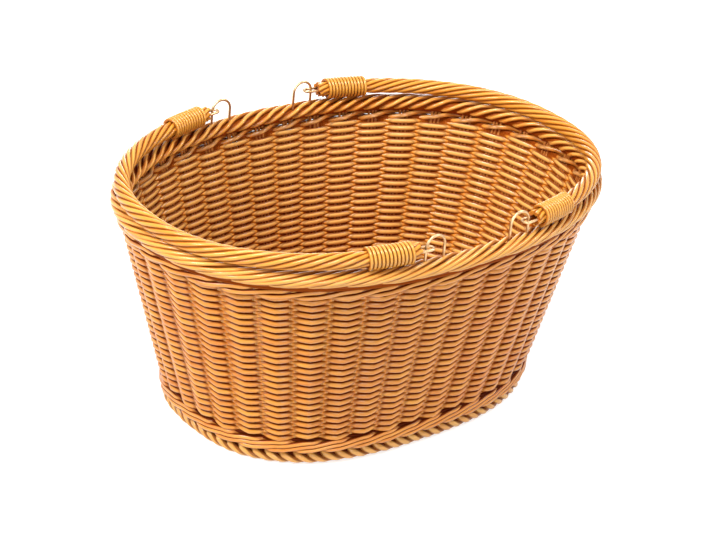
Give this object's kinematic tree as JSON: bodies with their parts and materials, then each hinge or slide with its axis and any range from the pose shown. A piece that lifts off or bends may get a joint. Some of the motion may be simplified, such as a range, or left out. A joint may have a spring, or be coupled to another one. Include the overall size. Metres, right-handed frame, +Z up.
{
  "type": "harvest basket",
  "caption": "Oval woven cane basket with flared sides, rolled rim and foot borders, and drop handles that swing up on wire hoops.",
  "frame": {"origin": "on the floor, under the middle of the oval foot", "axes": "+X along the basket, +Y across it towards the back, +Z up"},
  "size_m": [0.45, 0.3236, 0.2223],
  "materials": {
    "side_cane": "lacquered round cane, semi-gloss",
    "wale_cane": "lacquered round cane, semi-gloss",
    "border_cane": "lacquered round cane, semi-gloss",
    "base_cane": "lacquered round cane, satin",
    "stake_cane": "lacquered round cane, satin",
    "rope_cane": "twisted lacquered cane, semi-gloss",
    "binding_cane": "wound lacquered cane, semi-gloss",
    "wire": "drawn steel wire, dulled"
  },
  "bodies": {
    "basket": {"base_weave": "base_cane", "base_slath": "base_cane", "foot_border": "border_cane", "lower_wale": "wale_cane", "side_weave": "side_cane", "upper_wale": "wale_cane", "rim_border": "border_cane", "hoop_front_left": "wire", "hoop_front_right": "wire", "hoop_back_left": "wire", "hoop_back_right": "wire", "stake_01": "stake_cane", "stake_02": "stake_cane", "stake_03": "stake_cane", "stake_04": "stake_cane", "stake_05": "stake_cane", "stake_06": "stake_cane", "stake_07": "stake_cane", "stake_08": "stake_cane", "stake_09": "stake_cane", "stake_10": "stake_cane", "stake_11": "stake_cane", "stake_12": "stake_cane", "stake_13": "stake_cane", "stake_14": "stake_cane", "stake_15": "stake_cane", "stake_16": "stake_cane", "stake_17": "stake_cane", "stake_18": "stake_cane", "stake_19": "stake_cane", "stake_20": "stake_cane", "stake_21": "stake_cane", "stake_22": "stake_cane", "stake_23": "stake_cane", "stake_24": "stake_cane", "stake_25": "stake_cane", "stake_26": "stake_cane", "stake_27": "stake_cane", "stake_28": "stake_cane", "stake_29": "stake_cane", "stake_30": "stake_cane", "stake_31": "stake_cane", "stake_32": "stake_cane", "stake_33": "stake_cane", "stake_34": "stake_cane", "stake_35": "stake_cane", "stake_36": "stake_cane", "stake_37": "stake_cane", "stake_38": "stake_cane", "stake_39": "stake_cane", "stake_40": "stake_cane"},
    "handle_left": {"core_wire_left": "wire", "rope_left": "rope_cane", "binding_front_left": "binding_cane", "binding_back_left": "binding_cane"},
    "handle_right": {"core_wire_right": "wire", "rope_right": "rope_cane", "binding_front_right": "binding_cane", "binding_back_right": "binding_cane"}
  },
  "joints": [
    {"name": "left_handle_swing", "type": "hinge", "parent": "basket", "child": "handle_left", "pos_m": [-0.04457, 0, 0.21169], "axis": [0, 1, 0], "range_deg": [0, 104]},
    {"name": "right_handle_swing", "type": "hinge", "parent": "basket", "child": "handle_right", "pos_m": [0.04457, 0, 0.21169], "axis": [0, -1, 0], "range_deg": [0, 104]}
  ]
}
